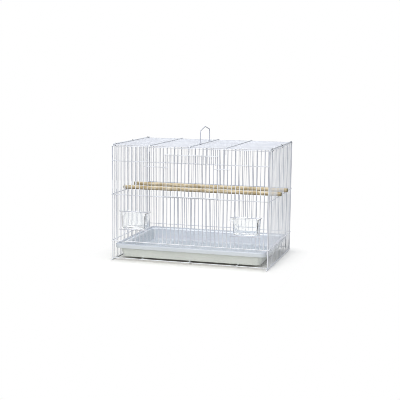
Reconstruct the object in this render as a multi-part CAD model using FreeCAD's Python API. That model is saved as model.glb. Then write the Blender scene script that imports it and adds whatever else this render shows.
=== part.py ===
import FreeCAD, Part
import math
import os

# A wire bird cage with a sliding front door, a pull-out tray, two feed cups, two perches and a
# folding carry handle. +X is to the right, +Y to the back, +Z up, and the origin is on the floor
# under the middle of the cage. All lengths are in millimetres.

# Overall size
cage_width = 500.0
cage_depth = 350.0
roof_top = 368.0

# Wire diameters
hoop_dia = 3.5
foot_dia = 4.0
cross_dia = 3.0
rail_dia = 2.5
bar_dia = 2.0
side_bar_dia = 1.6
runner_dia = 3.0
handle_dia = 3.2

# How far welded wires sink into each other, and the air left between pieces that move
weld_sink = 0.1
long_weld_sink = 0.01
move_gap = 0.3
cut_over = 1.0

# Bar spacing
front_spaces = 39
side_spaces = 28
roof_bar_count = 27

# Heights of the rails, the top two measured down from the roof
top_rail_drop = 7.0
upper_rail_drop = 53.0
mid_rail_z = 209.0
low_rail_z = 62.0
bottom_rail_z = 7.5
rail_over = 3.0

# End hoops, foot rails and roof cross wires
hoop_bend = 8.0
hoop_bend_drop = 1.0
foot_flat = 0.4
foot_stub = 13.0
cross_bend = 8.0
cross_leg = 12.0

# Roof cross wires, each halfway between the counted front bar and the next one
cross_bar_counts = (9, 19, 28)

# Front door, its edges counted in bars from the left end
door_left_bar_count = 14
door_right_bar_count = 27
door_shift = -4.2
door_top_over = 24.8
door_bar_over = 2.0
door_bar_drop = 6.0
door_rail_over = 1.0

# Door guides
upper_guide_drop = 14.0
guide_reach = 10.0
left_guide_tail = 70.0
right_guide_tail = 37.0
lower_guide_tail = 40.0
guide_step = 6.0
guide_bend = 3.0

# Feed cups, the edges of their openings counted in bars from the nearer end
cup_near_bar_count = 2
cup_far_bar_count = 9
cup_sill_z = 100.0
cup_lintel_z = 157.5
cup_width = 80.0
cup_depth = 48.0
cup_top_z = 153.0
cup_wall = 1.6
cup_corner = 5.0
cup_taper = 2.5
cup_ear_height = 8.0
cup_ear_over = 3.2
cup_ear_thick = 2.0
cup_rim_width = 2.4
cup_rim_thick = 2.0
cup_rest_share = 0.64
cup_rest_depth = 40.0

# Tray
tray_rim_top = 53.0
tray_side_gap = 7.0
tray_front_over = 4.0
tray_back_gap = 3.0
tray_rim_corner = 20.0
tray_skirt_height = 13.5
tray_flange_width = 8.0
tray_draft = 12.0
tray_wall = 2.2
tray_corner = 16.0

# Tray runners
runner_x_shares = (-0.6154, 0.0, 0.6154)

# Perches, counted in bars from the middle of the side
perch_dia = 12.7
perch_over = 9.5
front_perch_bar_count = 3
back_perch_bar_count = 4
perch_slot_side_gap = 0.4
perch_slot_end_gap = 3.0
perch_chamfer = 0.8

# Carry handle, whose eyes stand just outside a pair of roof bars
handle_bar_count = 4
handle_bar_gap = 0.65
handle_leg = 41.0
handle_peak = 52.5
handle_bend = 8.0
eye_gap = 0.3

# Roof clips
clip_width = 2.4
clip_thick = 0.6
clip_gap = 0.05
clip_bar_shares = (-0.89, 0.0, 0.89)

# Derived places
hoop_r = hoop_dia / 2
foot_r = foot_dia / 2
cross_r = cross_dia / 2
rail_r = rail_dia / 2
bar_r = bar_dia / 2
side_bar_r = side_bar_dia / 2
runner_r = runner_dia / 2
handle_r = handle_dia / 2

front_pitch = cage_width / front_spaces
post_x = cage_width / 2
bar_y = cage_depth / 2
bar_face_y = bar_y + bar_r
post_y = bar_face_y - hoop_r
rail_y = bar_face_y + rail_r - weld_sink
side_face_x = post_x + hoop_r
side_bar_x = side_face_x - side_bar_r
side_rail_x = side_face_x + rail_r - weld_sink

foot_z = foot_r - foot_flat
foot_top = foot_z + foot_r
foot_half = bar_y + foot_stub

top_rail_z = roof_top - top_rail_drop
upper_rail_z = roof_top - upper_rail_drop
rail_levels = (low_rail_z, mid_rail_z, top_rail_z)
front_rail_levels = rail_levels + (upper_rail_z,)
hoop_z = roof_top - hoop_r
roof_bar_z = hoop_z - hoop_r - bar_r + weld_sink
cross_z = roof_bar_z + bar_r + cross_r - weld_sink
cross_y = bar_face_y - cross_r
roof_pitch = cage_depth / side_spaces
roof_half = roof_pitch * (roof_bar_count - 1) / 2
side_half = roof_half + roof_pitch / 2
bar_foot = foot_top - weld_sink
side_bar_top = hoop_z - hoop_r + weld_sink
front_bar_top = top_rail_z + rail_over

door_bar_y = rail_y + rail_r + move_gap + bar_r
door_rail_y = door_bar_y + bar_r + rail_r - weld_sink
guide_y = door_bar_y + bar_r + move_gap + rail_r
upper_guide_z = upper_rail_z - upper_guide_drop
lower_guide_z = mid_rail_z
door_bottom_z = lower_guide_z + 2 * rail_r + move_gap
door_top_z = upper_rail_z + door_top_over

cup_rest_z = cup_sill_z + 2 * rail_r - weld_sink
cup_floor_z = cup_rest_z + rail_r + move_gap

tray_bottom = bottom_rail_z + runner_r + move_gap
perch_z = mid_rail_z + rail_r + perch_dia / 2
handle_y = handle_bar_count * roof_pitch + bar_r + handle_bar_gap + handle_r


def vec(x, y, z):
    return FreeCAD.Vector(x, y, z)


def front_x(bar):
    return bar * front_pitch - post_x


def wire(start, end, radius):
    return Part.makeCylinder(radius, (end - start).Length, start, end - start)


def along_x(x0, x1, y, z, radius):
    return wire(vec(x0, y, z), vec(x1, y, z), radius)


def along_y(y0, y1, x, z, radius):
    return wire(vec(x, y0, z), vec(x, y1, z), radius)


def along_z(z0, z1, x, y, radius):
    return wire(vec(x, y, z0), vec(x, y, z1), radius)


def bent_pieces(points, bend, radius):
    # The straight runs and round elbows of a bent wire, end to end
    pieces = []
    start = points[0]
    for before, corner, after in zip(points, points[1:], points[2:]):
        into = (corner - before).normalize()
        out = (after - corner).normalize()
        turn = into.getAngle(out)
        trim = bend * math.tan(turn / 2)
        knee = corner - into * trim
        axis = into.cross(out).normalize()
        centre = knee + axis.cross(into) * bend
        disc = Part.Face(Part.Wire(Part.Circle(knee, into, radius).toShape()))
        pieces.append(wire(start, knee, radius))
        pieces.append(disc.revolve(centre, axis, math.degrees(turn)))
        start = corner + out * trim
    pieces.append(wire(start, points[-1], radius))
    return pieces


def bent_wire(points, bend, radius):
    pieces = bent_pieces(points, bend, radius)
    return pieces[0].fuse(pieces[1:]).removeSplitter()


def arch(x, half, top, low, bend, radius):
    # A wire that rises at the front, runs back over the roof and comes down at the back
    points = [vec(x, -half, low), vec(x, -half, top), vec(x, half, top), vec(x, half, low)]
    return bent_pieces(points, bend, radius)


def end_hoop(side):
    return arch(side * post_x, post_y, hoop_z, bar_foot, hoop_bend, hoop_r)


def foot_rail(side):
    # The bottom wire of one end, with a narrow flat underneath to stand on
    rail = along_y(-foot_half, foot_half, side * post_x, foot_z, foot_r)
    corner = vec(side * post_x - foot_r, -foot_half, 0)
    keep = Part.makeBox(foot_dia, 2 * foot_half, foot_dia, corner)
    return [rail.common(keep)]


def front_rails():
    return [along_x(-side_bar_x, side_bar_x, -rail_y, z, rail_r) for z in front_rail_levels]


def back_rails():
    return [along_x(-side_bar_x, side_bar_x, rail_y, z, rail_r) for z in rail_levels]


def side_rails(side):
    return [along_y(-bar_y, bar_y, side * side_rail_x, z, rail_r) for z in rail_levels]


def in_cup_opening(bar):
    left = cup_near_bar_count < bar < cup_far_bar_count
    right = cup_near_bar_count < front_spaces - bar < cup_far_bar_count
    return left or right


def front_bars():
    # Upright wires of the front, left out where the door and the cups go through
    bars = []
    for bar in range(1, front_spaces):
        spans = [(low_rail_z - rail_over, front_bar_top)]
        if door_left_bar_count < bar < door_right_bar_count:
            spans = [
                (low_rail_z - rail_over, mid_rail_z + rail_over),
                (upper_rail_z - rail_over, front_bar_top),
            ]
        if in_cup_opening(bar):
            spans = [
                (low_rail_z - rail_over, cup_sill_z + rail_r),
                (cup_lintel_z - rail_r, front_bar_top),
            ]
        for low, high in spans:
            bars.append(along_z(low, high, front_x(bar), -bar_y, bar_r))
    return bars


def back_bars():
    return [
        along_z(bar_foot, front_bar_top, front_x(bar), bar_y, bar_r)
        for bar in range(1, front_spaces)
    ]


def side_bars(side):
    bars = []
    for step in range(side_spaces):
        y = step * roof_pitch - side_half
        under_bend = step in (0, side_spaces - 1)
        top = side_bar_top - hoop_bend_drop if under_bend else side_bar_top
        bars.append(along_z(bar_foot, top, side * side_bar_x, y, side_bar_r))
    return bars


def roof_bars():
    reach = post_x + bar_r
    return [
        along_x(-reach, reach, step * roof_pitch - roof_half, roof_bar_z, bar_r)
        for step in range(roof_bar_count)
    ]


def roof_cross_wires():
    wires = []
    low = cross_z - cross_bend - cross_leg
    for count in cross_bar_counts:
        x = front_x(count) + front_pitch / 2
        wires += arch(x, cross_y, cross_z, low, cross_bend, cross_r)
    return wires


def bottom_rails():
    rails = []
    for side in (-1, 1):
        rails.append(along_x(-side_bar_x, side_bar_x, side * rail_y, bottom_rail_z, rail_r))
    return rails


def tray_runners():
    reach = rail_y - rail_r + weld_sink
    runners = []
    for share in runner_x_shares:
        runners.append(along_y(-reach, reach, share * post_x, bottom_rail_z, runner_r))
    return runners


def cup_centre(side):
    return side * (post_x - (cup_near_bar_count + cup_far_bar_count) * front_pitch / 2)


def cup_frame(side):
    # Sill and lintel of one cup opening, and the wire rest that the cup stands on
    middle = cup_centre(side)
    half = (cup_far_bar_count - cup_near_bar_count) * front_pitch / 2 + rail_over
    pieces = []
    for z in (cup_sill_z, cup_lintel_z):
        pieces.append(along_x(middle - half, middle + half, -rail_y, z, rail_r))
    rest_end = cup_rest_depth - bar_y
    spread = cup_rest_share * cup_width / 2
    for hand in (-1, 1):
        pieces.append(along_y(-rail_y, rest_end, middle + hand * spread, cup_rest_z, rail_r))
    end_half = spread + rail_over
    end_z = cup_rest_z - 2 * rail_r + weld_sink
    pieces.append(along_x(middle - end_half, middle + end_half, rest_end - rail_over, end_z, rail_r))
    return pieces


def rounded_outline(x0, x1, y0, y1, z, corner):
    # A level rectangle with rounded corners
    left = x0 + corner
    right = x1 - corner
    front = y0 + corner
    back = y1 - corner
    corners = [vec(left, front, z), vec(right, front, z), vec(right, back, z), vec(left, back, z)]
    return Part.makePolygon(corners + corners[:1]).makeOffset2D(corner)


def tapered_block(low, high):
    return Part.makeLoft([low, high], True)


def cup(side):
    # A clear box, a little narrower at the floor, with a rim at the back and ears at the front
    middle = cup_centre(side)
    half = cup_width / 2
    front = -bar_face_y - move_gap - cup_ear_thick
    back = front + cup_depth
    low_half = half - cup_taper
    low_back = back - cup_taper
    wall = cup_wall
    low = rounded_outline(middle - low_half, middle + low_half, front, low_back, cup_floor_z, cup_corner)
    high = rounded_outline(middle - half, middle + half, front, back, cup_top_z, cup_corner)
    inner_corner = cup_corner - wall
    inner_low = rounded_outline(
        middle - low_half + wall, middle + low_half - wall, front + wall, low_back - wall,
        cup_floor_z + wall, inner_corner)
    inner_high = rounded_outline(
        middle - half + wall, middle + half - wall, front + wall, back - wall,
        cup_top_z + cut_over, inner_corner)
    ear_half = (cup_far_bar_count - cup_near_bar_count) * front_pitch / 2 + bar_r + cup_ear_over
    ear_corner = vec(middle - ear_half, front, cup_top_z - cup_ear_height)
    ears = Part.makeBox(2 * ear_half, cup_ear_thick, cup_ear_height, ear_corner)
    rim_low = cup_top_z - cup_rim_thick
    rim_half = half + cup_rim_width
    rim_edge = rounded_outline(
        middle - rim_half, middle + rim_half, front, back + cup_rim_width, rim_low, cup_corner)
    rim = Part.Face(rim_edge).extrude(vec(0, 0, cup_rim_thick))
    body = tapered_block(low, high).fuse([ears, rim]).removeSplitter()
    return [body.cut(tapered_block(inner_low, inner_high))]


def tray():
    # A pan with sloping walls, a flat rim all round and a skirt that hangs from the rim
    rim_half = post_x - tray_side_gap
    front = -bar_y - tray_front_over
    back = bar_y - tray_back_gap
    top_half = rim_half - tray_flange_width
    low_half = top_half - tray_draft
    pan_front = front + tray_flange_width
    pan_back = back - tray_flange_width
    low_front = pan_front + tray_draft
    low_back = pan_back - tray_draft
    wall = tray_wall
    low = rounded_outline(-low_half, low_half, low_front, low_back, tray_bottom, tray_corner)
    high = rounded_outline(-top_half, top_half, pan_front, pan_back, tray_rim_top, tray_corner)
    inner_corner = tray_corner - wall
    inner_low = rounded_outline(
        wall - low_half, low_half - wall, low_front + wall, low_back - wall,
        tray_bottom + wall, inner_corner)
    inner_high = rounded_outline(
        wall - top_half, top_half - wall, pan_front + wall, pan_back - wall,
        tray_rim_top + cut_over, inner_corner)
    skirt_low = tray_rim_top - tray_skirt_height
    outer_rim = rounded_outline(-rim_half, rim_half, front, back, skirt_low, tray_rim_corner)
    cap = Part.Face(outer_rim).extrude(vec(0, 0, tray_skirt_height))
    inside = rounded_outline(
        wall - rim_half, rim_half - wall, front + wall, back - wall,
        skirt_low - cut_over, tray_rim_corner - wall)
    hollow = Part.Face(inside).extrude(vec(0, 0, tray_skirt_height + cut_over - wall))
    body = cap.cut(hollow).fuse(tapered_block(low, high)).removeSplitter()
    return [body.cut(tapered_block(inner_low, inner_high))]


def perch(side, bar_count):
    # A dowel with chamfered ends and a slot at each end that straddles a side bar
    reach = side_rail_x + perch_over
    y = side * (roof_pitch / 2 + bar_count * roof_pitch)
    rod = along_x(-reach, reach, y, perch_z, perch_dia / 2)
    ends = [edge for edge in rod.Edges if edge.Curve.TypeId == "Part::GeomCircle"]
    rod = rod.makeChamfer(perch_chamfer, ends)
    slot_half = side_bar_r + perch_slot_side_gap
    slot_start = side_bar_x - side_bar_r - perch_slot_end_gap
    length = reach - slot_start + cut_over
    for hand in (-1, 1):
        low_x = slot_start if hand > 0 else -slot_start - length
        corner = vec(low_x, y - slot_half, perch_z - perch_dia)
        rod = rod.cut(Part.makeBox(length, 2 * slot_half, 2 * perch_dia, corner))
    return [rod]


def door_x(step):
    return front_x(door_left_bar_count + step) + door_shift


def door_bars():
    low = door_bottom_z - door_bar_drop
    high = door_top_z + door_bar_over
    steps = range(door_right_bar_count - door_left_bar_count + 1)
    return [along_z(low, high, door_x(step), -door_bar_y, bar_r) for step in steps]


def door_rails():
    low_x = door_x(0) - bar_r - door_rail_over
    high_x = door_x(door_right_bar_count - door_left_bar_count) + bar_r + door_rail_over
    return [along_x(low_x, high_x, -door_rail_y, z, rail_r) for z in (door_bottom_z, door_top_z)]


def joggled_guide(side, edge_x, tail, tail_y, z):
    # A wire that passes in front of the door's edge, then steps back to the wire it is welded to
    tip = vec(edge_x - side * guide_reach, -guide_y, z)
    turn = vec(edge_x + side * guide_step, -guide_y, z)
    land = vec(edge_x + side * 2 * guide_step, -tail_y, z)
    end = vec(edge_x + side * tail, -tail_y, z)
    return bent_wire([tip, turn, land, end], guide_bend, rail_r)


def door_guides(z, tail_y, left_tail, right_tail):
    last = door_right_bar_count - door_left_bar_count
    return [
        joggled_guide(-1, door_x(0), left_tail, tail_y, z),
        joggled_guide(1, door_x(last), right_tail, tail_y, z),
    ]


def carry_handle():
    # A peaked loop whose two legs end in eyes around the middle roof cross wire
    eye_inner = cross_r + eye_gap
    eye_mid = eye_inner + handle_r
    leg_low = cross_z + eye_mid
    shoulder = cross_z + handle_leg
    peak = cross_z + handle_peak
    points = [vec(0, -handle_y, leg_low), vec(0, -handle_y, shoulder), vec(0, 0, peak)]
    points += [vec(0, handle_y, shoulder), vec(0, handle_y, leg_low)]
    body = bent_wire(points, handle_bend, handle_r)
    for side in (-1, 1):
        eye = Part.makeTorus(eye_mid, handle_r, vec(0, side * handle_y, cross_z), vec(0, 1, 0))
        body = body.fuse(eye)
    return [body]


def roof_clips():
    # Small strip rings that hold each roof edge to the top rail of the side under it
    clips = []
    inner = hoop_r + clip_gap
    outer = inner + clip_thick
    for side in (-1, 1):
        high = vec(side * post_x, 0, hoop_z)
        low = vec(side * side_rail_x, 0, top_rail_z)
        for share in clip_bar_shares:
            place = round(share * side_half / roof_pitch) * roof_pitch + roof_pitch / 4
            start = place - clip_width / 2
            clips.append(strip_ring(high, low, outer, inner, start))
    return clips


def strip_ring(high, low, outer, inner, start):
    shapes = []
    for radius in (outer, inner):
        along = low - high
        across = vec(along.z, 0, -along.x) * (radius / along.Length)
        lift = vec(0, start, 0)
        tip_high = high - along * (radius / along.Length)
        tip_low = low + along * (radius / along.Length)
        edges = [
            Part.Arc(high + across + lift, tip_high + lift, high - across + lift).toShape(),
            Part.makeLine(high - across + lift, low - across + lift),
            Part.Arc(low - across + lift, tip_low + lift, low + across + lift).toShape(),
            Part.makeLine(low + across + lift, high + across + lift),
        ]
        shapes.append(Part.Face(Part.Wire(edges)).extrude(vec(0, clip_width, 0)))
    return shapes[0].cut(shapes[1])


upper_guides = door_guides(upper_guide_z, rail_y, left_guide_tail, right_guide_tail)
lower_tail_y = rail_y + 2 * rail_r - long_weld_sink
lower_guides = door_guides(lower_guide_z, lower_tail_y, lower_guide_tail, lower_guide_tail)

nodes = {
    "left_end_hoop": end_hoop(-1),
    "right_end_hoop": end_hoop(1),
    "left_foot_rail": foot_rail(-1),
    "right_foot_rail": foot_rail(1),
    "front_rails": front_rails(),
    "front_bars": front_bars(),
    "back_rails": back_rails(),
    "back_bars": back_bars(),
    "left_side_rails": side_rails(-1),
    "left_side_bars": side_bars(-1),
    "right_side_rails": side_rails(1),
    "right_side_bars": side_bars(1),
    "roof_cross_wires": roof_cross_wires(),
    "roof_bars": roof_bars(),
    "roof_clips": roof_clips(),
    "bottom_rails": bottom_rails(),
    "tray_runners": tray_runners(),
    "left_cup_frame": cup_frame(-1),
    "right_cup_frame": cup_frame(1),
    "upper_door_guides": upper_guides,
    "lower_door_guides": lower_guides,
    "front_perch": perch(-1, front_perch_bar_count),
    "back_perch": perch(1, back_perch_bar_count),
    "door_bars": door_bars(),
    "door_rails": door_rails(),
    "tray": tray(),
    "left_cup": cup(-1),
    "right_cup": cup(1),
    "carry_handle": carry_handle(),
}

os.makedirs("parts", exist_ok=True)
for name, pieces in nodes.items():
    shape = pieces[0] if len(pieces) == 1 else Part.makeCompound(pieces)
    shape.exportStep(os.path.join("parts", name + ".step"))
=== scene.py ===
import math
import random

import bmesh
import bpy
from mathutils import Matrix, Vector


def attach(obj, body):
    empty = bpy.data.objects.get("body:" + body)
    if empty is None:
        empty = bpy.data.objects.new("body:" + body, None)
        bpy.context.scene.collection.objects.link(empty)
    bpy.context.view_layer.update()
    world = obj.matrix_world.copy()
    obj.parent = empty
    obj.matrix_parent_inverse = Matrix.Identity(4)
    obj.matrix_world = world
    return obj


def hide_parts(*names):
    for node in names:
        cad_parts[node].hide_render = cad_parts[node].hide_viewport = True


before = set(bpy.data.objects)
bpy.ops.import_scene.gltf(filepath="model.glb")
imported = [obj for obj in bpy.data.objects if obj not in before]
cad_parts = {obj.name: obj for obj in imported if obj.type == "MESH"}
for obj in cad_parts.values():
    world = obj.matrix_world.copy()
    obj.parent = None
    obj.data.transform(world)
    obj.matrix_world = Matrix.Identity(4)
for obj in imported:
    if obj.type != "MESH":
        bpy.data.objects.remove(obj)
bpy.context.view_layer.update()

# Lengths are written in millimetres, as in the CAD, and scaled to metres when a piece is finished
MM = 0.001
rng = random.Random(11)

# Wire radii
HOOP_R = 1.75
FOOT_R = 2.0
CROSS_R = 1.5
RAIL_R = 1.25
BAR_R = 1.0
SIDE_BAR_R = 0.8
RUNNER_R = 1.5
HANDLE_R = 1.6

# Cage
FRONT_SPACES = 39
CAGE_WIDTH = 500.0
PITCH = CAGE_WIDTH / FRONT_SPACES
POST_X = CAGE_WIDTH / 2
POST_Y = 174.25
BAR_Y = 175.0
RAIL_Y = 177.15
SIDE_BAR_X = 250.95
SIDE_RAIL_X = 252.9
SIDE_RAIL_HALF = 175.0
LEVELS = (62.0, 209.0, 361.0)
LINTEL_Z = 315.0
FRONT_LEVELS = LEVELS + (LINTEL_Z,)
RAIL_OVER = 3.0
BAR_FOOT = 3.5
BAR_TOP = LEVELS[2] + RAIL_OVER
FRONT_BAR_FOOT = LEVELS[0] - RAIL_OVER
SIDE_BAR_TOP = 364.6
END_SIDE_BAR_TOP = 363.6
FOOT_Z = 1.6
FOOT_HALF = 188.0
BOTTOM_RAIL_Z = 7.5
WIRE_BEND = 8.0

# Roof
ROOF_PITCH = 12.5
SIDE_BAR_COUNT = 28
ROOF_BAR_COUNT = 27
SIDE_HALF = ROOF_PITCH * (SIDE_BAR_COUNT - 1) / 2
ROOF_HALF = ROOF_PITCH * (ROOF_BAR_COUNT - 1) / 2
ROOF_BAR_HALF = 251.0
HOOP_Z = 366.25
ROOF_BAR_Z = 363.6
CROSS_Z = 366.0
CROSS_Y = 174.5
CROSS_FOOT = 346.0
CROSS_X = (9.5 * PITCH - POST_X, 0.0, 28.5 * PITCH - POST_X)

# Tray runners
RUNNER_X = (-153.85, 0.0, 153.85)
RUNNER_HALF = 176.0

# Places of welds, half width and height of those that differ, and how far a wire may bow
SIDE_WELD_X = 251.72
FRONT_WELD_Y = 175.95
ROOF_WELD_Z = 364.55
RUNNER_WELD_Y = 175.8
RUNNER_WELD = (1.45, 0.5)
DOOR_WELD_Y = 180.65
DOOR_WELD = (1.1, 0.45)
REST_WELD_Z = 101.2
BAR_BOW = 0.35
RAIL_BOW = 0.3

# Door and its guides
DOOR_BARS = 14
DOOR_FIRST = 14
DOOR_SHIFT = -4.2
DOOR_BAR_Y = 179.7
DOOR_RAIL_Y = 181.85
DOOR_LEVELS = (211.8, 339.8)
DOOR_BAR_DROP = 6.0
DOOR_OVER = 2.0
GUIDE_Y = 182.25
GUIDE_REACH = 10.0
GUIDE_STEP = 6.0
GUIDE_BEND = 3.0
UPPER_GUIDE_Z = 301.0
UPPER_TAILS = (70.0, 37.0)
UPPER_TAIL_BARS = (9, 10, 11, 12, 28, 29)
LOWER_TAILS = (40.0, 40.0)
LOWER_TAIL_Y = 179.64

# Handle, with angles in degrees
HANDLE_Y = 53.25
HANDLE_GAP = 0.3
HANDLE_SHOULDER_Z = 407.0
HANDLE_PEAK_Z = 418.5
HANDLE_LEG = 9.0
EYE_LEAD_X = 0.45
EYE_LEAD_RISE = 5.6
EYE_POINTS = 22
EYE_START = 75.0
EYE_TURN = 15.6

# Cups and their openings
CUP_FIRST = 2
CUP_SPACES = 7
CUP_X = POST_X - (CUP_FIRST + CUP_SPACES / 2) * PITCH
CUP_HALF = 40.0
CUP_TAPER = 2.5
CUP_FRONT = -178.3
CUP_BACK = -130.3
CUP_UNDER = 103.95
CUP_TOP = 153.0
CUP_WALL = 1.6
CUP_FLOOR = CUP_UNDER + CUP_WALL
EAR_X = (34.0, 49.07)
EAR_Z = (145.0, 153.0)
EAR_THICK = 2.0
EAR_CORNER = 2.0
EAR_ROUND = 0.35
SILL_Z = 100.0
CUP_LINTEL_Z = 157.5
REST_X = 25.6
REST_Z = 102.4
REST_BACK = 135.0
REST_CROSS_Y = 138.0

# Perches
PERCH_R = 6.35
PERCH_HALF = 262.4
PERCH_Z = 216.6
FRONT_PERCH_Y = -43.75
BACK_PERCH_Y = 56.25
SLOT_START = 247.15
SLOT_HALF = 1.2
CUT_OVER = 4.0

# Tray
TRAY_HALF = 243.0
TRAY_FRONT = 179.0
TRAY_BACK = 172.0
TRAY_UNDER = 9.3
TRAY_FLOOR = 11.5
TRAY_TOP = 53.0
TRAY_LEAN = 12.0
OUTER_FOOT = 20.0
INNER_FOOT = 22.2

# Roof clips
CLIP_INNER = 1.8
CLIP_OUTER = 2.4
CLIP_HALF = 1.2
CLIP_STEPS = 12
CLIP_SHARES = (-0.89, 0.0, 0.89)


# Node helpers
def new_material(name):
    mat = bpy.data.materials.new(name)
    mat.use_nodes = True
    return mat, mat.node_tree, mat.node_tree.nodes["Principled BSDF"]


def set_inputs(tree, node, inputs):
    """Links each input to a socket, or gives it a value."""
    for key, value in inputs.items():
        if hasattr(value, "links"):
            tree.links.new(value, node.inputs[key])
        else:
            node.inputs[key].default_value = value


def add(tree, kind, inputs=None, **settings):
    made = tree.nodes.new(kind)
    for key, value in settings.items():
        setattr(made, key, value)
    set_inputs(tree, made, inputs or {})
    return made


def calc(tree, operation, *values):
    return add(tree, "ShaderNodeMath", dict(enumerate(values)), operation=operation).outputs["Value"]


def vector_calc(tree, operation, *values):
    made = add(tree, "ShaderNodeVectorMath", dict(enumerate(values)), operation=operation)
    return made.outputs["Vector"]


def length(tree, vector):
    return add(tree, "ShaderNodeVectorMath", {0: vector}, operation="LENGTH").outputs["Value"]


def spread(tree, value, low, high, to_low=0.0, to_high=1.0):
    """Maps the value from one range to another and holds it there."""
    inputs = {"Value": value, "From Min": low, "From Max": high, "To Min": to_low, "To Max": to_high}
    return add(tree, "ShaderNodeMapRange", inputs).outputs["Result"]


def spread_mm(tree, place, limits):
    """Maps a place in metres to 0 at the first limit and 1 at the second, both in millimetres."""
    return spread(tree, place, limits[0] * MM, limits[1] * MM)


def ramp(tree, factor, *stops):
    made = add(tree, "ShaderNodeValToRGB", {"Fac": factor})
    while len(made.color_ramp.elements) < len(stops):
        made.color_ramp.elements.new(0.5)
    for element, (place, colour) in zip(made.color_ramp.elements, stops):
        element.position = place
        element.color = (*colour, 1.0)
    return made.outputs["Color"]


def mottle(tree, factor, low, high):
    """Two colours that a noise mixes."""
    return ramp(tree, factor, (0.3, low), (0.7, high))


def grey(value):
    return (value, value, value)


def scaled_coords(tree, scale=(1, 1, 1)):
    coords = add(tree, "ShaderNodeTexCoord").outputs["Object"]
    return add(tree, "ShaderNodeMapping", {"Vector": coords, "Scale": scale}).outputs["Vector"]


def split(tree, vector):
    return add(tree, "ShaderNodeSeparateXYZ", {"Vector": vector}).outputs


def attribute(tree, name, output):
    return add(tree, "ShaderNodeAttribute", attribute_name=name).outputs[output]


def noise(tree, vector, scale, detail=3.0, roughness=0.5):
    inputs = {"Vector": vector, "Scale": scale, "Detail": detail, "Roughness": roughness}
    return add(tree, "ShaderNodeTexNoise", inputs).outputs["Fac"]


def bump(tree, height, strength, distance, **more):
    inputs = {"Height": height, "Strength": strength, "Distance": distance, **more}
    return add(tree, "ShaderNodeBump", inputs).outputs["Normal"]


def blend_colour(tree, kind, factor, a, b):
    inputs = {"Factor": factor, "A": a, "B": b}
    return add(tree, "ShaderNodeMix", inputs, data_type="RGBA", blend_type=kind).outputs["Result"]


def shows_backdrop(tree):
    """1 for rays from the camera, from a gloss or through clear plastic, and 0 for the rest."""
    path = add(tree, "ShaderNodeLightPath").outputs
    seen = calc(tree, "MAXIMUM", path["Is Camera Ray"], path["Is Glossy Ray"])
    return calc(tree, "MAXIMUM", seen, path["Is Transmission Ray"])


# White coat of the wires
PERCH_BAND = (227.5, 252.5)
BAND_EDGE = 2.0
BAND_WEIGHT = 0.85
FRONT_WIRES_Y = -170.0


def perch_band(tree, coords):
    # Painted light: the front wires are whiter at the height where the perches show behind them
    place = split(tree, coords)
    low, high = PERCH_BAND
    rise = spread(tree, place["Z"], (low - BAND_EDGE) * MM, low * MM, to_high=BAND_WEIGHT)
    fall = spread_mm(tree, place["Z"], (high + BAND_EDGE, high))
    front = calc(tree, "LESS_THAN", place["Y"], FRONT_WIRES_Y * MM)
    return calc(tree, "MULTIPLY", calc(tree, "MULTIPLY", rise, fall), front)


def powder_coat():
    # In the tone, red is the wire's own shade, green marks a weld and blue is how far painted light takes
    # the coat from its shaded colour to its lit one
    mat, tree, shader = new_material("white_powder_coat")
    coords = scaled_coords(tree)
    cloud = noise(tree, coords, 26.0)
    # A shaded and a lit copy of one white coat: painted shade and painted light
    shaded_coat = mottle(tree, cloud, (0.475, 0.495, 0.565), (0.545, 0.56, 0.62))
    lit_coat = mottle(tree, cloud, (0.79, 0.81, 0.855), (0.85, 0.865, 0.895))
    parts = add(tree, "ShaderNodeSeparateColor", {"Color": attribute(tree, "tone", "Color")}).outputs
    whiter = calc(tree, "MAXIMUM", parts["Blue"], perch_band(tree, coords))
    tint = blend_colour(tree, "MIX", whiter, shaded_coat, lit_coat)
    shade = ramp(tree, parts["Red"], (0.0, grey(0.93)), (1.0, grey(1.0)))
    tint = blend_colour(tree, "MULTIPLY", 1.0, tint, shade)
    tint = blend_colour(tree, "MIX", parts["Green"], tint, (0.60, 0.61, 0.65, 1.0))
    rough = mottle(tree, noise(tree, coords, 60.0), grey(0.34), grey(0.50))
    peel = bump(tree, noise(tree, coords, 1100.0, 2.0), 0.25, 0.0002)
    looks = {"Base Color": tint, "Roughness": rough, "Specular IOR Level": 0.4, "Normal": peel}
    set_inputs(tree, shader, looks)
    return mat


# Wood of the perches: where their painted shade underneath gives way to painted light on top, and where
# their end grain sets in
UNDER_Y = (-50.0, 50.0)
UNDER_SHADES = (0.62, 0.84)
UNDER_Z = (212.5, 220.0)
TOP_SHADE = 1.15
END_GRAIN_X = (258.5, 262.0)


def growth_rings(tree):
    coords = scaled_coords(tree, (0.05, 1, 1))
    warp = noise(tree, coords, 90.0)
    across = add(tree, "ShaderNodeMapping", {"Vector": coords, "Scale": (0, 1, 1)}).outputs["Vector"]
    far = calc(tree, "MULTIPLY", length(tree, across), 4200.0)
    wave = calc(tree, "SINE", calc(tree, "MULTIPLY_ADD", warp, 9.0, far))
    light = spread(tree, wave, -1.0, 1.0)
    stops = ((0.0, (0.50, 0.388, 0.22)), (0.45, (0.74, 0.625, 0.42)), (1.0, (0.85, 0.745, 0.57)))
    return ramp(tree, light, *stops)


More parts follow.
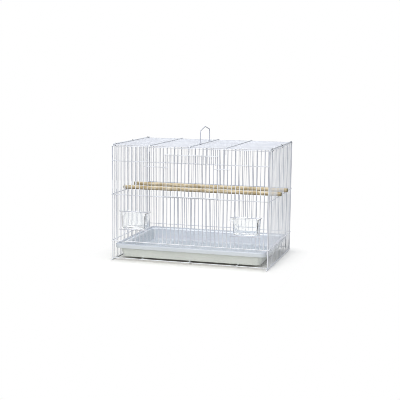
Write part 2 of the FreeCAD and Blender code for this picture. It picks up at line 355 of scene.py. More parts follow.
def dowel_wood():
    mat, tree, shader = new_material("dowel_wood")
    fibre = noise(tree, scaled_coords(tree, (6, 900, 900)), 1.0, 4.0, 0.65)
    dark = ramp(tree, fibre, (0.30, grey(0.82)), (0.62, grey(1.0)))
    wood = blend_colour(tree, "MULTIPLY", 1.0, growth_rings(tree), dark)
    cloud = noise(tree, scaled_coords(tree, (1, 3, 3)), 45.0)
    blotch = ramp(tree, cloud, (0.36, (0.65, 0.59, 0.46)), (0.58, (1.0, 1.0, 0.98)))
    wood = blend_colour(tree, "MULTIPLY", 1.0, wood, blotch)
    # Painted shade makes both dowels darker underneath, the front one more so, and painted light makes
    # their tops paler
    place = split(tree, scaled_coords(tree))
    under = spread(tree, place["Y"], UNDER_Y[0] * MM, UNDER_Y[1] * MM, *UNDER_SHADES)
    painted_light = spread(tree, place["Z"], UNDER_Z[0] * MM, UNDER_Z[1] * MM, under, TOP_SHADE)
    wood = blend_colour(tree, "MULTIPLY", 1.0, wood, painted_light)
    # End grain is darker still
    end = spread_mm(tree, calc(tree, "ABSOLUTE", place["X"]), END_GRAIN_X)
    wood = blend_colour(tree, "MIX", end, wood, (0.20, 0.185, 0.085, 1.0))
    rough = mottle(tree, fibre, grey(0.75), grey(0.52))
    grain = bump(tree, fibre, 0.35, 0.0003)
    set_inputs(tree, shader, {"Base Color": wood, "Roughness": rough, "Normal": grain})
    return mat


# Plastic of the tray
def tray_plastic():
    mat, tree, shader = new_material("tray_plastic")
    coords = scaled_coords(tree)
    cloud = noise(tree, coords, 9.0, 4.0)
    # The tray is one plastic: the darker tint is a shaded copy and the paler tint a lit copy, painted shade
    # and painted light
    inside = mottle(tree, cloud, (0.49, 0.53, 0.60), (0.53, 0.57, 0.635))
    outside = mottle(tree, cloud, (0.80, 0.84, 0.80), (0.86, 0.895, 0.855))
    tint = blend_colour(tree, "MIX", attribute(tree, "painted_light_share", "Fac"), inside, outside)
    # A painted highlight: a pale bluish line along the inner shoulder of the rim
    tint = blend_colour(tree, "MIX", attribute(tree, "painted_light", "Fac"), tint, (0.84, 0.88, 0.93, 1.0))
    scuff = noise(tree, scaled_coords(tree, (30, 420, 420)), 1.0, 5.0, 0.7)
    rough = ramp(tree, scuff, (0.35, grey(0.24)), (0.75, grey(0.40)))
    sag = bump(tree, noise(tree, coords, 16.0, 2.0), 0.15, 0.002)
    grain = bump(tree, noise(tree, coords, 2200.0, 2.0), 0.06, 0.0001, Normal=sag)
    looks = {"Base Color": tint, "Roughness": rough, "Specular IOR Level": 0.7, "Normal": grain}
    set_inputs(tree, shader, looks)
    return mat


# Plastic of the cups: where the dark of the front corners sets in, from the cup's middle, in y and in z
DARK_SIDE = (35.8, 37.2)
DARK_FRONT = (-173.8, -175.2)
DARK_BELOW = (145.5, 143.5)


def dark_corners(tree, coords):
    # The two upright corners of the front trap light and look dark
    place = split(tree, coords)
    side = calc(tree, "SUBTRACT", calc(tree, "ABSOLUTE", place["X"]), CUP_X * MM)
    side = spread_mm(tree, calc(tree, "ABSOLUTE", side), DARK_SIDE)
    front = spread_mm(tree, place["Y"], DARK_FRONT)
    below = spread_mm(tree, place["Z"], DARK_BELOW)
    return calc(tree, "MULTIPLY", calc(tree, "MULTIPLY", side, front), below)


def clear_plastic():
    mat, tree, shader = new_material("clear_plastic")
    coords = scaled_coords(tree)
    tint = mottle(tree, noise(tree, coords, 30.0), (0.95, 0.96, 0.965), (0.985, 0.99, 0.99))
    tint = blend_colour(tree, "MIX", dark_corners(tree, coords), tint, (0.20, 0.20, 0.21, 1.0))
    haze = noise(tree, scaled_coords(tree, (240, 240, 60)), 1.0, 4.0, 0.65)
    rough = ramp(tree, haze, (0.45, grey(0.0)), (0.8, grey(0.03)))
    wave = bump(tree, noise(tree, coords, 45.0, 2.0), 0.05, 0.0005)
    set_inputs(tree, shader, {"Transmission Weight": 1.0, "IOR": 1.3})
    set_inputs(tree, shader, {"Base Color": tint, "Roughness": rough, "Normal": wave})
    return mat


# Steel of the clips
def clip_steel():
    mat, tree, shader = new_material("clip_steel")
    coords = scaled_coords(tree)
    tint = mottle(tree, noise(tree, coords, 700.0, 4.0), (0.02, 0.02, 0.022), (0.05, 0.05, 0.053))
    rough = mottle(tree, noise(tree, coords, 1500.0), grey(0.42), grey(0.62))
    set_inputs(tree, shader, {"Base Color": tint, "Roughness": rough, "Specular IOR Level": 0.3})
    return mat


WIRE = powder_coat()
WOOD = dowel_wood()
TRAY = tray_plastic()
CLEAR = clear_plastic()
STEEL = clip_steel()


# Mesh tools
def finish_piece(name, bm, body, nodes, material):
    bmesh.ops.recalc_face_normals(bm, faces=bm.faces)
    bmesh.ops.scale(bm, vec=(MM, MM, MM), verts=bm.verts)
    mesh = bpy.data.meshes.new(name)
    bm.to_mesh(mesh)
    bm.free()
    piece = bpy.data.objects.new(name, mesh)
    bpy.context.collection.objects.link(piece)
    mesh.materials.append(material)
    mesh.shade_smooth()
    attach(piece, body)
    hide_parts(*nodes)
    return piece


def sharp_edges(piece, angle):
    piece.data.set_sharp_from_angle(angle=math.radians(angle))


def around(count):
    """The angles of that many points spaced evenly round a circle."""
    return [2 * math.pi * k / count for k in range(count)]


def wrap(bm, a, b):
    """The faces between two rings of vertices."""
    for k in range(len(a)):
        n = (k + 1) % len(a)
        bm.faces.new((a[k], a[n], b[n], b[k]))


def skin(bm, rings):
    """A closed skin over a row of rings of vertices, capped at both ends."""
    for a, b in zip(rings, rings[1:]):
        wrap(bm, a, b)
    bm.faces.new(rings[0])
    bm.faces.new(rings[-1])


def stack(bm, rings):
    """A closed skin over a row of rings of points."""
    skin(bm, [[bm.verts.new(p) for p in ring] for ring in rings])


def rounded_ring(x0, x1, y0, y1, z, corner, steps=8):
    """The points of a level rectangle with round corners."""
    ring = []
    for x, y, turn in ((x1 - corner, y0 + corner, -90), (x1 - corner, y1 - corner, 0),
                       (x0 + corner, y1 - corner, 90), (x0 + corner, y0 + corner, 180)):
        for k in range(steps + 1):
            angle = math.radians(turn + 90 * k / steps)
            ring.append((x + corner * math.cos(angle), y + corner * math.sin(angle), z))
    return ring


def bent(points, bend, step=9.0):
    """The middle line of a bent wire: straight runs with a round bend at each corner."""
    points = [Vector(p) for p in points]
    line = [points[0]]
    for before, corner, after in zip(points, points[1:], points[2:]):
        into = (corner - before).normalized()
        out = (after - corner).normalized()
        turn = into.angle(out)
        knee = corner - into * (bend * math.tan(turn / 2))
        axis = into.cross(out).normalized()
        centre = knee + axis.cross(into) * bend
        count = max(3, round(math.degrees(turn) / step))
        for k in range(count + 1):
            line.append(centre + Matrix.Rotation(turn * k / count, 3, axis) @ (knee - centre))
    line.append(points[-1])
    return line


def held(value):
    return min(max(value, 0.0), 1.0)


# A wire's end: how far along it each ring stands, and how wide the ring is, in radii
END_STEPS = ((0.0, 0.40), (0.08, 0.68), (0.28, 0.91), (0.65, 1.0))
TUBE_SIDES = 16
BAR_STEPS = 6
WELD_LATITUDES = (-75, -45, -15, 15, 45, 75)
WELD_SIDES = 10
WELD_TONE = (0.5, 1.0, 0.0, 1.0)

# Heights at which painted light turns the wires' coat whiter: at the tray, a little above it, and on the
# roof's edge
WHITE_Z = 72.0
WHITE_FADE = 10.0
PALE_Z = 135.0
PALE_FADE = 45.0
PALE_WEIGHT = 0.28
CREST_Z = 358.3
CREST_FADE = 2.5


class Wires:
    """Round wires, bent or straight, and the small weld lumps where they cross, gathered in one mesh."""

    def __init__(self):
        self.bm = bmesh.new()
        self.tone = self.bm.verts.layers.float_color.new("tone")

    def ring(self, spots, tone):
        verts = [self.bm.verts.new(spot) for spot in spots]
        for vert in verts:
            vert[self.tone] = tone
        return verts

    def tube(self, points, radius):
        points = [Vector(p) for p in points]
        tone = (rng.random(), 0.0, 0.0, 1.0)
        first = (points[1] - points[0]).normalized() * radius
        last = (points[-1] - points[-2]).normalized() * radius
        stations = [(points[0] + first * along, radius * wide) for along, wide in END_STEPS]
        stations += [(p, radius) for p in points[1:-1]]
        stations += [(points[-1] - last * along, radius * wide) for along, wide in reversed(END_STEPS)]
        side = first.orthogonal().normalized()
        rings = []
        for step, (place, wide) in enumerate(stations):
            before = stations[max(step - 1, 0)][0]
            after = stations[min(step + 1, len(stations) - 1)][0]
            ahead = (after - before).normalized()
            side = (side - ahead * side.dot(ahead)).normalized()
            other = ahead.cross(side)
            spots = [place + (side * math.cos(a) + other * math.sin(a)) * wide for a in around(TUBE_SIDES)]
            rings.append(self.ring(spots, tone))
        skin(self.bm, rings)
        return [v for ring in rings for v in ring]

    def bar(self, start, end, radius, bow=(0, 0, 0)):
        # A straight run that is very slightly bowed, as drawn wire is
        start, end, bow = Vector(start), Vector(end), Vector(bow)
        swing = rng.uniform(-1, 1)
        points = []
        for k in range(BAR_STEPS + 1):
            t = k / BAR_STEPS
            points.append(start.lerp(end, t) + bow * swing * math.sin(math.pi * t))
        return self.tube(points, radius)

    def weld(self, at, normal, wide=1.15, high=0.55):
        turn = Vector((0, 0, 1)).rotation_difference(Vector(normal)).to_matrix()
        wide *= rng.uniform(0.85, 1.15)
        deep = wide * rng.uniform(0.85, 1.1)
        rings = []
        for latitude in WELD_LATITUDES:
            flat, rise = math.cos(math.radians(latitude)), math.sin(math.radians(latitude))
            spots = []
            for a in around(WELD_SIDES):
                spot = Vector((flat * math.cos(a) * wide, flat * math.sin(a) * deep, rise * high))
                spots.append(Vector(at) + turn @ spot)
            rings.append(self.ring(spots, WELD_TONE))
        skin(self.bm, rings)

    def done(self, name, body, *nodes, lit_coat=0.0, roof=None):
        # Painted shade greys the upper wires. Painted light keeps the coat whiter at the tray and below,
        # and on the roof's edge
        roof = lit_coat if roof is None else roof
        for vert in self.bm.verts:
            shade, weld, _, one = vert[self.tone]
            low = held((WHITE_Z - vert.co.z) / WHITE_FADE)
            middle = PALE_WEIGHT * held((PALE_Z - vert.co.z) / PALE_FADE)
            crest = held((vert.co.z - CREST_Z) / CREST_FADE)
            vert[self.tone] = (shade, weld, max(low, middle, lit_coat + (roof - lit_coat) * crest), one)
        finish_piece(name, self.bm, body, nodes, WIRE)


# Cage wires
def front_x(bar):
    return bar * PITCH - POST_X


def build_hoop(side, word):
    hoop = Wires()
    x = side * POST_X
    corners = [(x, -POST_Y, BAR_FOOT), (x, -POST_Y, HOOP_Z), (x, POST_Y, HOOP_Z), (x, POST_Y, BAR_FOOT)]
    hoop.tube(bent(corners, WIRE_BEND), HOOP_R)
    hoop.done(word + "_hoop_wire", "cage", word + "_end_hoop", lit_coat=0.0, roof=1.0)


def build_foot(side, word):
    foot = Wires()
    x = side * POST_X
    for vert in foot.bar((x, -FOOT_HALF, FOOT_Z), (x, FOOT_HALF, FOOT_Z), FOOT_R):
        vert.co.z = max(vert.co.z, 0.0)
    foot.done(word + "_foot_wire", "cage", word + "_foot_rail")


def build_side(side, word):
    rails = Wires()
    bars = Wires()
    rail_x, bar_x, weld_x = side * SIDE_RAIL_X, side * SIDE_BAR_X, side * SIDE_WELD_X
    for z in LEVELS:
        rails.bar((rail_x, -SIDE_RAIL_HALF, z), (rail_x, SIDE_RAIL_HALF, z), RAIL_R, (0, 0, RAIL_BOW))
    for step in range(SIDE_BAR_COUNT):
        y = step * ROOF_PITCH - SIDE_HALF
        top = END_SIDE_BAR_TOP if step in (0, SIDE_BAR_COUNT - 1) else SIDE_BAR_TOP
        bars.bar((bar_x, y, BAR_FOOT), (bar_x, y, top), SIDE_BAR_R, (0, BAR_BOW, 0))
        for z in LEVELS:
            rails.weld((weld_x, y, z), (1, 0, 0))
    rails.done(word + "_side_rail_wires", "cage", word + "_side_rails", lit_coat=0.4, roof=1.0)
    bars.done(word + "_side_bar_wires", "cage", word + "_side_bars", lit_coat=0.8)


def front_spans(bar):
    """The heights between which a front bar runs: it is cut at the door and at the cups."""
    door_last = DOOR_FIRST + DOOR_BARS - 1
    cup_last = CUP_FIRST + CUP_SPACES
    if DOOR_FIRST < bar < door_last:
        return [(FRONT_BAR_FOOT, LEVELS[1] + RAIL_OVER), (LINTEL_Z - RAIL_OVER, BAR_TOP)]
    if CUP_FIRST < bar < cup_last or CUP_FIRST < FRONT_SPACES - bar < cup_last:
        return [(FRONT_BAR_FOOT, SILL_Z + RAIL_R), (CUP_LINTEL_Z - RAIL_R, BAR_TOP)]
    return [(FRONT_BAR_FOOT, BAR_TOP)]


def back_spans(bar):
    return [(BAR_FOOT, BAR_TOP)]


def build_wall(side, word, levels, spans):
    rails = Wires()
    bars = Wires()
    rail_y, bar_y, weld_y = side * RAIL_Y, side * BAR_Y, side * FRONT_WELD_Y
    for z in levels:
        rails.bar((-SIDE_BAR_X, rail_y, z), (SIDE_BAR_X, rail_y, z), RAIL_R, (0, 0, RAIL_BOW))
    for bar in range(1, FRONT_SPACES):
        x = front_x(bar)
        for low, high in spans(bar):
            bars.bar((x, bar_y, low), (x, bar_y, high), BAR_R, (BAR_BOW, 0, 0))
            for z in levels:
                if low < z < high:
                    rails.weld((x, weld_y, z), (0, 1, 0))
    rails.done(word + "_rail_wires", "cage", word + "_rails", lit_coat=0.5)
    bars.done(word + "_bar_wires", "cage", word + "_bars")


def build_roof():
    cross = Wires()
    y = CROSS_Y
    for x in CROSS_X:
        corners = [(x, -y, CROSS_FOOT), (x, -y, CROSS_Z), (x, y, CROSS_Z), (x, y, CROSS_FOOT)]
        cross.tube(bent(corners, WIRE_BEND), CROSS_R)
    bars = Wires()
    for step in range(ROOF_BAR_COUNT):
        y = step * ROOF_PITCH - ROOF_HALF
        bars.bar((-ROOF_BAR_HALF, y, ROOF_BAR_Z), (ROOF_BAR_HALF, y, ROOF_BAR_Z), BAR_R, (0, BAR_BOW, 0))
        for x in CROSS_X:
            cross.weld((x, y, ROOF_WELD_Z), (0, 0, 1))
    cross.done("roof_cross_wire_set", "cage", "roof_cross_wires", lit_coat=0.9)
    bars.done("roof_bar_wires", "cage", "roof_bars", lit_coat=0.52)


def build_base():
    rails = Wires()
    z = BOTTOM_RAIL_Z
    for side in (-1, 1):
        rails.bar((-SIDE_BAR_X, side * RAIL_Y, z), (SIDE_BAR_X, side * RAIL_Y, z), RAIL_R)
    runners = Wires()
    for x in RUNNER_X:
        runners.bar((x, -RUNNER_HALF, z), (x, RUNNER_HALF, z), RUNNER_R)
        for side in (-1, 1):
            runners.weld((x, side * RUNNER_WELD_Y, z), (0, 1, 0), *RUNNER_WELD)
    rails.done("bottom_rail_wires", "cage", "bottom_rails")
    runners.done("tray_runner_wires", "cage", "tray_runners")


def build_cup_frame(side, word):
    wires = Wires()
    middle = side * CUP_X
    half = CUP_SPACES / 2 * PITCH + RAIL_OVER
    for z in (SILL_Z, CUP_LINTEL_Z):
        wires.bar((middle - half, -RAIL_Y, z), (middle + half, -RAIL_Y, z), RAIL_R)
        for step in range(CUP_SPACES + 1):
            wires.weld((middle + (step - CUP_SPACES / 2) * PITCH, -FRONT_WELD_Y, z), (0, 1, 0))
    for hand in (-1, 1):
        x = middle + hand * REST_X
        wires.bar((x, -RAIL_Y, REST_Z), (x, -REST_BACK, REST_Z), RAIL_R)
        wires.weld((x, -RAIL_Y, REST_WELD_Z), (0, 0, 1))
        wires.weld((x, -REST_CROSS_Y, REST_WELD_Z), (0, 0, 1))
    half = REST_X + RAIL_OVER
    wires.bar((middle - half, -REST_CROSS_Y, SILL_Z), (middle + half, -REST_CROSS_Y, SILL_Z), RAIL_R)
    wires.done(word + "_cup_frame_wires", "cage", word + "_cup_frame")


def door_x(step):
    return front_x(DOOR_FIRST + step) + DOOR_SHIFT


def build_door():
    bars = Wires()
    rails = Wires()
    low, high = DOOR_LEVELS
    for step in range(DOOR_BARS):
        x = door_x(step)
        bars.bar((x, -DOOR_BAR_Y, low - DOOR_BAR_DROP), (x, -DOOR_BAR_Y, high + DOOR_OVER), BAR_R)
        for z in DOOR_LEVELS:
            rails.weld((x, -DOOR_WELD_Y, z), (0, 1, 0), *DOOR_WELD)
    left, right = door_x(0) - DOOR_OVER, door_x(DOOR_BARS - 1) + DOOR_OVER
    for z in DOOR_LEVELS:
        rails.bar((left, -DOOR_RAIL_Y, z), (right, -DOOR_RAIL_Y, z), RAIL_R)
    bars.done("door_bar_wires", "front_door", "door_bars")
    rails.done("door_rail_wires", "front_door", "door_rails", lit_coat=0.8)


def build_guides(word, z, tail_y, tails, bars):
    guides = Wires()
    for side, step, tail in ((-1, 0, tails[0]), (1, DOOR_BARS - 1, tails[1])):
        edge = door_x(step)
        path = [(edge - side * GUIDE_REACH, -GUIDE_Y, z), (edge + side * GUIDE_STEP, -GUIDE_Y, z),
                (edge + side * 2 * GUIDE_STEP, -tail_y, z), (edge + side * tail, -tail_y, z)]
        guides.tube(bent(path, GUIDE_BEND), RAIL_R)
    for bar in bars:
        guides.weld((front_x(bar), -FRONT_WELD_Y, z), (0, 1, 0))
    guides.done(word + "_guide_wires", "cage", word + "_door_guides", lit_coat=0.6)


def handle_eye():
    """The points of an eye round the cross wire, from its leg on: x, and height above the wire's middle."""
    reach = CROSS_R + HANDLE_GAP + HANDLE_R
    points = [(EYE_LEAD_X, EYE_LEAD_RISE)]
    for k in range(EYE_POINTS):
        angle = math.radians(EYE_START - EYE_TURN * k)
        points.append((reach * math.cos(angle), reach * math.sin(angle)))
    return points


def build_handle():
    loop = Wires()
    y, leg, shoulder = HANDLE_Y, CROSS_Z + HANDLE_LEG, HANDLE_SHOULDER_Z
    corners = [(0, -y, leg), (0, -y, shoulder), (0, 0, HANDLE_PEAK_Z), (0, y, shoulder), (0, y, leg)]
    front = [(x, -y, CROSS_Z + rise) for x, rise in reversed(handle_eye())]
    back = [(x, y, CROSS_Z + rise) for x, rise in handle_eye()]
    loop.tube(front + bent(corners, WIRE_BEND) + back, HANDLE_R)
    loop.done("handle_loop", "handle", "carry_handle")


# Cutting and joining of meshes
def applied(piece):
    """Gives the piece a mesh with its modifiers applied."""
    deps = bpy.context.evaluated_depsgraph_get()
    mesh = bpy.data.meshes.new_from_object(piece.evaluated_get(deps))
    piece.modifiers.clear()
    piece.data = mesh


def scratch(name, bm):
    mesh = bpy.data.meshes.new(name)
    bm.to_mesh(mesh)
    bm.free()
    made = bpy.data.objects.new(name, mesh)
    bpy.context.collection.objects.link(made)
    return made


def drop(piece):
    mesh = piece.data
    bpy.data.objects.remove(piece)
    bpy.data.meshes.remove(mesh)


def combine(bm, cutter, operation):
    """Cuts or joins one closed mesh with another and gives the result as a new bmesh."""
    base = scratch("base", bm)
    tool = scratch("tool", cutter)
    change = base.modifiers.new("change", "BOOLEAN")
    change.object = tool
    change.operation = operation
    change.solver = "EXACT"
    bpy.context.view_layer.update()
    applied(base)
    result = bmesh.new()
    result.from_mesh(base.data)
    drop(base)
    drop(tool)
    return result


def box_mesh(x0, x1, y0, y1, z0, z1):
    bm = bmesh.new()
    made = bmesh.ops.create_cube(bm, size=1.0)
    size = Matrix.Diagonal((x1 - x0, y1 - y0, z1 - z0, 1.0))
    place = Matrix.Translation(((x0 + x1) / 2, (y0 + y1) / 2, (z0 + z1) / 2))
    bmesh.ops.transform(bm, matrix=place @ size, verts=made["verts"])
    return bm


# Perches: how far from a dowel's end each ring of its rounded edge stands, and what is cut from its radius
DOWEL_EDGE = ((0.0, 0.8), (0.25, 0.35), (0.8, 0.0))
DOWEL_PLAIN_END = 30.0
DOWEL_STEPS = 20
DOWEL_SIDES = 48


def dowel_rings(y):
    plain = PERCH_HALF - DOWEL_PLAIN_END
    places = [(-PERCH_HALF + along, PERCH_R - cut) for along, cut in DOWEL_EDGE]
    places += [(-plain + k * 2 * plain / DOWEL_STEPS, PERCH_R) for k in range(DOWEL_STEPS + 1)]
    places += [(PERCH_HALF - along, PERCH_R - cut) for along, cut in reversed(DOWEL_EDGE)]
    rings = []
    for x, r in places:
        rings.append([(x, y + r * math.cos(a), PERCH_Z + r * math.sin(a)) for a in around(DOWEL_SIDES)])
    return rings


def build_perch(y, word):
    bm = bmesh.new()
    stack(bm, dowel_rings(y))
    bmesh.ops.recalc_face_normals(bm, faces=bm.faces)
    low, high = PERCH_Z - PERCH_R - CUT_OVER, PERCH_Z + PERCH_R + CUT_OVER
    for hand in (-1, 1):
        x0, x1 = sorted((hand * SLOT_START, hand * (PERCH_HALF + CUT_OVER)))
        bm = combine(bm, box_mesh(x0, x1, y - SLOT_HALF, y + SLOT_HALF, low, high), "DIFFERENCE")
    piece = finish_piece(word + "_perch_dowel", bm, "cage", [word + "_perch"], WOOD)
    sharp_edges(piece, angle=35.0)


# Cup section, from the middle of the underside over the rim to the middle of the floor
CUP_SECTION = (
    (CUP_UNDER, 2.2, 3.0), (CUP_UNDER + 0.3, 1.0, 4.2),
    (CUP_UNDER + 1.0, 0.3, 4.8), (CUP_UNDER + 2.2, 0.0, 5.0),
    (CUP_TOP - 2.1, 0.0, 5.0), (CUP_TOP - 2.0, 0.05, 5.0, 0.2),
    (CUP_TOP - 2.0, 0.0, 5.0, 2.0), (CUP_TOP - 1.7, 0.0, 5.0, 2.35),
    (CUP_TOP - 0.4, 0.0, 5.0, 2.4), (CUP_TOP - 0.1, 0.15, 5.0, 2.35), (CUP_TOP, 0.5, 4.7, 2.3),
    (CUP_TOP, CUP_WALL - 0.4, 4.0), (CUP_TOP - 0.15, CUP_WALL - 0.1, 3.6), (CUP_TOP - 0.6, CUP_WALL, 3.4),
    (CUP_FLOOR + 2.4, CUP_WALL, 3.4), (CUP_FLOOR + 0.9, CUP_WALL + 0.4, 3.2),
    (CUP_FLOOR + 0.2, CUP_WALL + 1.2, 2.6), (CUP_FLOOR, CUP_WALL + 2.4, 2.0))


def cup_ring(middle, z, inset, corner, flange=0.0):
    """A row of the section: its height, inset, corner radius and how far the flange stands out."""
    taper = CUP_TAPER * (CUP_TOP - z) / (CUP_TOP - CUP_UNDER)
    half = CUP_HALF - taper - inset + flange
    back = CUP_BACK - taper - inset + flange
    return rounded_ring(middle - half, middle + half, CUP_FRONT + inset, back, z, corner)


def cup_ear(middle, hand):
    ear = bmesh.new()
    x0, x1 = sorted((middle + hand * EAR_X[0], middle + hand * EAR_X[1]))
    z0, z1 = EAR_Z
    slices = ((0.0, EAR_ROUND), (EAR_ROUND, 0.0), (EAR_THICK - EAR_ROUND, 0.0), (EAR_THICK, EAR_ROUND))
    rings = []
    for depth, cut in slices:
        outline = rounded_ring(x0 + cut, x1 - cut, z0 + cut, z1 - cut, 0.0, EAR_CORNER - cut, steps=5)
        rings.append([(x, CUP_FRONT + depth, z) for x, z, _ in outline])
    stack(ear, rings)
    bmesh.ops.recalc_face_normals(ear, faces=ear.faces)
    return ear


def build_cup(side, word):
    middle = side * CUP_X
    bm = bmesh.new()
    stack(bm, [cup_ring(middle, *row) for row in CUP_SECTION])
    bmesh.ops.recalc_face_normals(bm, faces=bm.faces)
    for hand in (-1, 1):
        bm = combine(bm, cup_ear(middle, hand), "UNION")
    body, nodes = word + "_feed_cup", [word + "_cup"]
    piece = finish_piece(word + "_cup_moulding", bm, body, nodes, CLEAR)
    sharp_edges(piece, angle=40.0)
    piece.visible_shadow = False


# Tray walls, as insets from the rim's outline at a height
def outer_wall(z):
    return OUTER_FOOT - TRAY_LEAN * (z - TRAY_UNDER) / (TRAY_TOP - TRAY_UNDER)


def inner_wall(z):
    return INNER_FOOT - TRAY_LEAN * (z - TRAY_FLOOR) / (TRAY_TOP - TRAY_FLOOR)


# Tray section, from the middle of the underside over the skirted rim to the middle of the floor
TRAY_SECTION = (
    (24.0, TRAY_UNDER, 12.0), (22.0, 9.45, 13.5), (20.6, 10.1, 15.0), (outer_wall(11.7), 11.7, 16.0),
    (outer_wall(50.2), 50.2, 16.0), (8.3, 50.7, 16.2), (7.6, 50.8, 16.5), (2.8, 50.8, 17.5),
    (2.3, 50.5, 17.7), (2.2, 49.8, 17.8), (2.2, 40.1, 17.8), (2.0, 39.65, 18.0), (1.5, 39.5, 18.5),
    (0.6, 39.5, 19.4), (0.15, 39.7, 19.85), (0.0, 40.2, 20.0), (0.0, 50.4, 20.0),
    (0.25, 51.7, 19.8), (0.9, 52.6, 19.3), (2.0, TRAY_TOP, 18.5), (7.6, TRAY_TOP, 16.0),
    (8.6, 52.7, 15.4), (9.3, 52.0, 14.9), (9.6, 51.0, 14.6), (9.65, 50.4, 14.5),
    (9.8, 49.3, 14.4), (11.2, 46.5, 14.3), (12.0, 45.6, 14.3), (13.6, 43.8, 14.2), (14.2, 42.8, 14.1),
    (inner_wall(38.0) + 0.4, 38.0, 14.0), (inner_wall(17.1), 17.1, 13.8), (21.3, 14.4, 13.6),
    (22.6, 12.6, 13.0), (24.6, 11.7, 12.0), (27.0, TRAY_FLOOR, 11.0))

# Rows of the section by first row, row after the last and how far painted light takes them towards the
# outer colour
PAINTED_LIGHT_ROWS = ((0, 6, 1.0), (6, 16, 0.34), (16, 17, 0.2), (32, 36, 0.2))
PAINTED_HIGHLIGHT_ROWS = (25, 27)
LEFT_WALL_ROWS = (28, 32)
LEFT_WALL_X = -220.0
LEFT_WALL_PAINTED_LIGHT = 0.3


def tray_ring(inset, z, corner):
    """A row of the section: its inset from the rim's outline, height and corner radius."""
    x = TRAY_HALF - inset
    return rounded_ring(-x, x, inset - TRAY_FRONT, TRAY_BACK - inset, z, corner, steps=10)


def paint_tray_light(bm, row_length):
    # A new layer voids the handles on older ones, so both are fetched after they are made
    layers = bm.verts.layers.float
    for name in ("painted_light_share", "painted_light"):
        layers.new(name)
    painted_light_share, painted_light = layers["painted_light_share"], layers["painted_light"]
    bm.verts.ensure_lookup_table()

    def rows(first, last):
        return bm.verts[first * row_length:last * row_length]

    for first, last, weight in PAINTED_LIGHT_ROWS:
        for vert in rows(first, last):
            vert[painted_light_share] = weight
    # The rows of the painted highlight on the rim's inner shoulder
    for vert in rows(*PAINTED_HIGHLIGHT_ROWS):
        vert[painted_light] = 1.0
    # Painted light on the shaded left inner wall
    for vert in rows(*LEFT_WALL_ROWS):
        if vert.co.x < LEFT_WALL_X:
            vert[painted_light_share] = LEFT_WALL_PAINTED_LIGHT


def build_tray():
    rings = [tray_ring(*row) for row in TRAY_SECTION]
    bm = bmesh.new()
    stack(bm, rings)
    paint_tray_light(bm, len(rings[0]))
    piece = finish_piece("tray_moulding", bm, "litter_tray", ["tray"], TRAY)
    sharp_edges(piece, angle=50.0)


# Roof clips
def clip_loop(bm, high, low, radius, y):
    """A slot-shaped ring of vertices around the two wires that a clip holds."""
    along = (low - high).normalized()
    across = Vector((along.z, 0, -along.x))
    loop = []
    for middle, start in ((high, 0), (low, 180)):
        for k in range(CLIP_STEPS + 1):
            angle = math.radians(start + 180 * k / CLIP_STEPS)
            spot = middle + (across * math.cos(angle) - along * math.sin(angle)) * radius
            loop.append(bm.verts.new((spot.x, y, spot.z)))
    return loop


def build_clips():
    bm = bmesh.new()
    edges = ((CLIP_INNER, CLIP_HALF), (CLIP_OUTER, CLIP_HALF),
             (CLIP_OUTER, -CLIP_HALF), (CLIP_INNER, -CLIP_HALF))
    for side in (-1, 1):
        high = Vector((side * POST_X, 0, HOOP_Z))
        low = Vector((side * SIDE_RAIL_X, 0, LEVELS[2]))
        for share in CLIP_SHARES:
            # Each clip stands a quarter of a space behind a roof bar
            y = round(share * SIDE_HALF / ROOF_PITCH) * ROOF_PITCH + ROOF_PITCH / 4
            loops = [clip_loop(bm, high, low, radius, y + shift) for radius, shift in edges]
            for a, b in zip(loops, loops[1:] + loops[:1]):
                wrap(bm, a, b)
    piece = finish_piece("roof_clip_strips", bm, "cage", ["roof_clips"], STEEL)
    sharp_edges(piece, angle=40.0)


# All pieces
for hand, word in ((-1, "left"), (1, "right")):
    build_hoop(hand, word)
    build_foot(hand, word)
    build_side(hand, word)
    build_cup_frame(hand, word)
    build_cup(hand, word)
build_wall(-1, "front", FRONT_LEVELS, front_spans)
build_wall(1, "back", LEVELS, back_spans)
build_roof()
build_base()
build_door()
build_guides("upper", UPPER_GUIDE_Z, RAIL_Y, UPPER_TAILS, UPPER_TAIL_BARS)
build_guides("lower", LEVELS[1], LOWER_TAIL_Y, LOWER_TAILS, ())
build_handle()
build_perch(FRONT_PERCH_Y, "front")
build_perch(BACK_PERCH_Y, "back")
build_tray()
build_clips()

# Floor and backdrop, in metres
FLOOR_HALF = 8.0
FLOOR_DROP = 0.0002
PATCH_MIDDLE = (-0.012, -0.12, 0.0)
PATCH_HALF = (0.25, 0.25, 0.0)
PATCH_FADE = 0.09
WHITE = (1.0, 1.0, 1.0, 1.0)


def floor_look():
    mat = bpy.data.materials.new("floor")
    mat.use_nodes = True
    tree = mat.node_tree
    tree.nodes.clear()
    # Seen directly, the floor turns to white backdrop with distance from a patch below and before the cage
    coords = add(tree, "ShaderNodeTexCoord").outputs["Object"]
    place = vector_calc(tree, "ABSOLUTE", vector_calc(tree, "SUBTRACT", coords, PATCH_MIDDLE))
    place = vector_calc(tree, "MAXIMUM", vector_calc(tree, "SUBTRACT", place, PATCH_HALF), (0.0, 0.0, 0.0))
    far = spread(tree, length(tree, place), 0.0, PATCH_FADE)
    plain = add(tree, "ShaderNodeBsdfDiffuse", {"Color": (0.52, 0.51, 0.48, 1)}).outputs["BSDF"]
    pale = add(tree, "ShaderNodeBsdfDiffuse", {"Color": (1.0, 0.985, 0.95, 1)}).outputs["BSDF"]
    white = add(tree, "ShaderNodeEmission", {"Color": WHITE, "Strength": 1.0}).outputs["Emission"]
    seen = add(tree, "ShaderNodeMixShader", {0: far, 1: pale, 2: white}).outputs["Shader"]
    both = add(tree, "ShaderNodeMixShader", {0: shows_backdrop(tree), 1: plain, 2: seen}).outputs["Shader"]
    add(tree, "ShaderNodeOutputMaterial", {"Surface": both})
    return mat


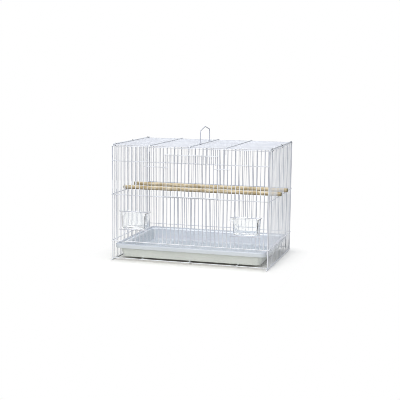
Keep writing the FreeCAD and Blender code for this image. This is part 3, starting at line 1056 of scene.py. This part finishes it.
def build_floor():
    mesh = bpy.data.meshes.new("floor")
    half = FLOOR_HALF
    corners = [(-half, -half, 0), (half, -half, 0), (half, half, 0), (-half, half, 0)]
    mesh.from_pydata(corners, [], [(0, 1, 2, 3)])
    floor = bpy.data.objects.new("floor", mesh)
    bpy.context.collection.objects.link(floor)
    floor.location.z = -FLOOR_DROP
    mesh.materials.append(floor_look())


def build_world():
    world = bpy.data.worlds.new("studio")
    bpy.context.scene.world = world
    world.use_nodes = True
    tree = world.node_tree
    tree.nodes.clear()
    sky = {"Color": (0.86, 0.90, 1.0, 1), "Strength": 0.30}
    dim = add(tree, "ShaderNodeBackground", sky).outputs["Background"]
    white = add(tree, "ShaderNodeBackground", {"Color": WHITE, "Strength": 1.0}).outputs["Background"]
    both = add(tree, "ShaderNodeMixShader", {0: shows_backdrop(tree), 1: dim, 2: white}).outputs["Shader"]
    add(tree, "ShaderNodeOutputWorld", {"Surface": both})


# Lamps, with name, place, size, power and colour
LAMPS = (
    ("key", (-0.3, -2.1, 1.6), (1.4, 1.4), 30.5, (1.0, 0.985, 0.96)),
    ("top", (-0.2, 0.3, 2.1), (1.6, 1.6), 23.0, (0.93, 0.97, 1.0)),
    ("fill", (2.0, -0.9, 1.0), (1.4, 1.4), 12.5, (0.95, 0.97, 1.0)),
    ("low", (-0.2, -2.4, 0.6), (1.8, 0.7), 12.0, (1.0, 0.99, 0.96)))
LAMP_TARGET = Vector((0, 0, 0.15))


def lamp(name, place, size, power, colour):
    data = bpy.data.lights.new(name, "AREA")
    data.shape = "RECTANGLE"
    data.size, data.size_y = size
    data.energy = power
    data.color = colour
    light = bpy.data.objects.new(name, data)
    bpy.context.collection.objects.link(light)
    light.location = place
    light.rotation_euler = (LAMP_TARGET - Vector(place)).to_track_quat("-Z", "Y").to_euler()


# Camera, which looks at a target from a distance and has its focal length in pixels of a picture
AZIMUTH = math.radians(16.301)
ELEVATION = math.radians(8.099)
ROLL = math.radians(0.592)
CAMERA_TARGET = Vector((-0.01482, 0.0, 0.178971))
CAMERA_DISTANCE = 2.956716
FOCAL_PIXELS = 908.755
PICTURE_PIXELS = 400.0
SENSOR_WIDTH = 36.0


def build_camera():
    level = math.cos(ELEVATION)
    back = Vector((math.sin(AZIMUTH) * level, -math.cos(AZIMUTH) * level, math.sin(ELEVATION)))
    right = Vector((math.cos(AZIMUTH), math.sin(AZIMUTH), 0.0))
    up = back.cross(right)
    rolled_right = right * math.cos(ROLL) + up * math.sin(ROLL)
    rolled_up = up * math.cos(ROLL) - right * math.sin(ROLL)
    data = bpy.data.cameras.new("camera")
    data.sensor_width = SENSOR_WIDTH
    data.lens = SENSOR_WIDTH * FOCAL_PIXELS / PICTURE_PIXELS
    camera = bpy.data.objects.new("camera", data)
    bpy.context.collection.objects.link(camera)
    turn = Matrix((rolled_right, rolled_up, back)).transposed().to_4x4()
    camera.matrix_world = Matrix.Translation(CAMERA_TARGET + back * CAMERA_DISTANCE) @ turn
    bpy.context.scene.camera = camera


build_floor()
build_world()
for row in LAMPS:
    lamp(*row)
build_camera()
bpy.context.scene.view_settings.view_transform = "Standard"
# More bounces let light through the clear cups, and a narrow pixel filter keeps thin wires sharp
bpy.context.scene.cycles.max_bounces = 32
bpy.context.scene.cycles.glossy_bounces = 16
bpy.context.scene.cycles.transmission_bounces = 24
bpy.context.scene.cycles.filter_width = 0.8
